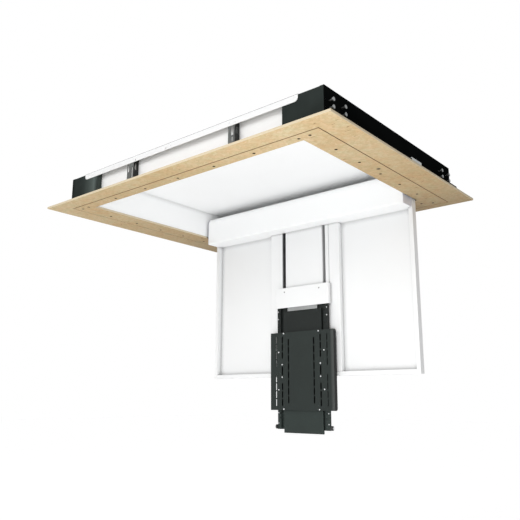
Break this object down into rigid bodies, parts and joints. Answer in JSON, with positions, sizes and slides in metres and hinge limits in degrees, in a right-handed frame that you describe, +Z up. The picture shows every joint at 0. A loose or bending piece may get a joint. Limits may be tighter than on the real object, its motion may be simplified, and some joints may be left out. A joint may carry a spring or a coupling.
{
  "type": "motorised ceiling tv lift",
  "caption": "Ceiling housing with a wood surround whose powered flap folds down and carries a sliding column with a slotted tv mounting plate.",
  "frame": {"origin": "centre of the four ceiling anchor holes, in the plane of the housing's top face", "axes": "+X along the housing's length, +Y towards the side where the flap is hinged, +Z up towards the ceiling"},
  "size_m": [2.126, 1.531, 1.572],
  "materials": {
    "wood_board": "pale oiled boards",
    "black_steel": "satin black powder coat",
    "white_steel": "satin white powder coat",
    "white_panel": "smooth white lacquer",
    "grey_bracket": "grey zinc and paint",
    "bright_steel": "bright zinc",
    "dark_screw": "dark phosphate",
    "gear_steel": "machined",
    "motor_aluminium": "brushed extrusion",
    "pale_grey": "fine texture",
    "black_plastic": "moulded",
    "sliding_plastic": "self-lubricating"
  },
  "bodies": {
    "housing": {"board_outer": "wood_board", "board_inner": "wood_board", "end_panel_left": "black_steel", "end_panel_right": "black_steel", "side_panel_near": "white_steel", "side_panel_far": "white_steel", "ceiling_rail_near": "white_steel", "ceiling_rail_far": "white_steel", "bracket_near_right": "grey_bracket", "bracket_near_left": "grey_bracket", "bracket_far_right": "grey_bracket", "bracket_far_left": "grey_bracket", "roof_sheet": "white_steel", "liner_left": "white_steel", "liner_right": "white_steel", "liner_near": "white_steel", "liner_far": "white_steel", "board_screws": "dark_screw", "side_bolts": "bright_steel", "bracket_screws": "bright_steel", "cable_entry_cover": "pale_grey", "hinge_plate_left": "grey_bracket", "hinge_plate_right": "grey_bracket", "sector_left": "gear_steel", "sector_right": "gear_steel"},
    "flap": {"flap_skin": "white_panel", "flap_frame": "white_panel", "head_box": "white_steel", "head_box_end_left": "pale_grey", "head_box_end_right": "pale_grey", "hinge_arm_left": "gear_steel", "hinge_arm_right": "gear_steel", "guide_rail_left": "white_panel", "guide_rail_right": "white_panel", "guide_panel": "white_panel", "rack_left": "gear_steel", "rack_right": "gear_steel", "flap_gearmotor": "motor_aluminium", "shaft_bearings": "sliding_plastic", "control_unit": "black_plastic"},
    "flap_drive": {"flap_shaft": "gear_steel", "flap_pinions": "gear_steel"},
    "lift": {"carriage_plate": "grey_bracket", "guide_shoes": "sliding_plastic", "bearing_blocks": "sliding_plastic", "worm_gearbox": "gear_steel", "lift_motor": "motor_aluminium", "sliding_cover": "white_steel", "cover_screws": "bright_steel", "column_channel": "black_steel", "column_cover": "black_steel", "column_rivets": "bright_steel", "tv_plate": "black_steel", "plate_screws": "bright_steel", "plate_spacers": "black_steel", "roller_pins": "bright_steel"},
    "lift_drive": {"lift_shaft": "gear_steel", "lift_pinions": "gear_steel"},
    "end_roller_left": {"end_roller_left": "black_plastic"},
    "end_roller_right": {"end_roller_right": "black_plastic"}
  },
  "joints": [
    {"name": "flap_hinge", "type": "hinge", "parent": "housing", "child": "flap", "pos_m": [0, 0.48, -0.147], "axis": [-1, 0, 0], "range_deg": [0, 90]},
    {"name": "lift_slide", "type": "slide", "parent": "flap", "child": "lift", "axis": [0, 0, 1], "range_m": [0, 0.37]},
    {"name": "flap_drive_spin", "type": "hinge", "parent": "flap", "child": "flap_drive", "pos_m": [0, 0.42, -0.147], "axis": [-1, 0, 0], "range_deg": [0, 270]},
    {"name": "lift_drive_spin", "type": "hinge", "parent": "lift", "child": "lift_drive", "pos_m": [0, 0.482, -0.7], "axis": [-1, 0, 0], "range_deg": [0, 1414]},
    {"name": "roller_spin_left", "type": "hinge", "parent": "lift", "child": "end_roller_left", "pos_m": [-0.21, 0.473, -1.535], "axis": [1, 0, 0], "continuous": true},
    {"name": "roller_spin_right", "type": "hinge", "parent": "lift", "child": "end_roller_right", "pos_m": [0.21, 0.473, -1.535], "axis": [1, 0, 0], "continuous": true}
  ],
  "couplings": [
    {"joint": "lift_slide", "follows": "flap_hinge", "m_per_rad": 0.23555},
    {"joint": "flap_drive_spin", "follows": "flap_hinge", "ratio": 3},
    {"joint": "lift_drive_spin", "follows": "flap_hinge", "ratio": 15.703}
  ]
}
